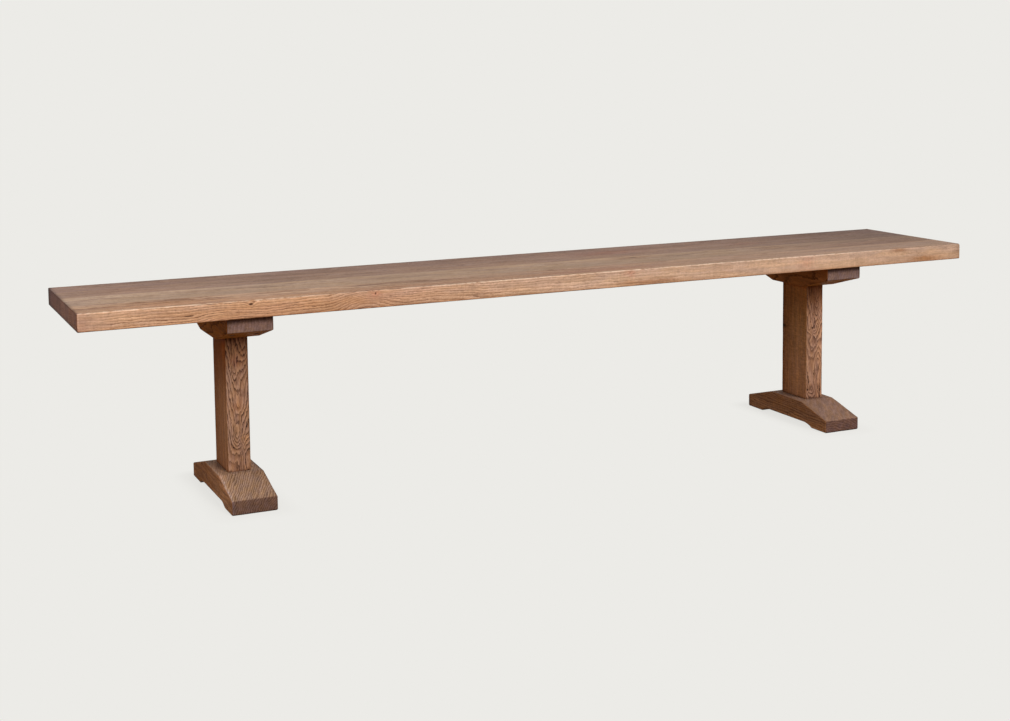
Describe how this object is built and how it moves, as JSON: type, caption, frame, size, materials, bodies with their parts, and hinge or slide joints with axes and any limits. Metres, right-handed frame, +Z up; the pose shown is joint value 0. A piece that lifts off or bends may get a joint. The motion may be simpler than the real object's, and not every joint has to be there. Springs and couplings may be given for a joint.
{
  "type": "dining bench",
  "caption": "Long backless oak dining bench: a flat seat of edge-glued boards on two pedestal legs, each a sloped foot, a flat post and a sloped bearer.",
  "frame": {"origin": "on the floor, under the middle of the seat", "axes": "+X along the seat to the right as seen from the front, -Y towards the front, +Z up"},
  "size_m": [2.2, 0.373, 0.452],
  "materials": {
    "seat_oak": "brushed and oiled oak, matt, grey-brown on top and warmer along the front edge",
    "leg_oak": "brushed and oiled oak, matt, mid brown with dark open grain",
    "screw_steel": "zinc plated, slightly dull",
    "washer_steel": "zinc plated, slightly dull"
  },
  "bodies": {
    "root": {"front_stave": "seat_oak", "mid_front_stave": "seat_oak", "mid_back_stave": "seat_oak", "back_stave": "seat_oak", "left_foot": "leg_oak", "left_post": "leg_oak", "left_bearer": "leg_oak", "left_foot_screw_front": "screw_steel", "left_foot_screw_back": "screw_steel", "left_bearer_screw_front": "screw_steel", "left_bearer_screw_back": "screw_steel", "left_seat_screw_front_left": "screw_steel", "left_seat_screw_front_right": "screw_steel", "left_seat_screw_back_left": "screw_steel", "left_seat_screw_back_right": "screw_steel", "left_seat_washer_front_left": "washer_steel", "left_seat_washer_front_right": "washer_steel", "left_seat_washer_back_left": "washer_steel", "left_seat_washer_back_right": "washer_steel", "right_foot": "leg_oak", "right_post": "leg_oak", "right_bearer": "leg_oak", "right_foot_screw_front": "screw_steel", "right_foot_screw_back": "screw_steel", "right_bearer_screw_front": "screw_steel", "right_bearer_screw_back": "screw_steel", "right_seat_screw_front_left": "screw_steel", "right_seat_screw_front_right": "screw_steel", "right_seat_screw_back_left": "screw_steel", "right_seat_screw_back_right": "screw_steel", "right_seat_washer_front_left": "washer_steel", "right_seat_washer_front_right": "washer_steel", "right_seat_washer_back_left": "washer_steel", "right_seat_washer_back_right": "washer_steel"}
  },
  "joints": []
}
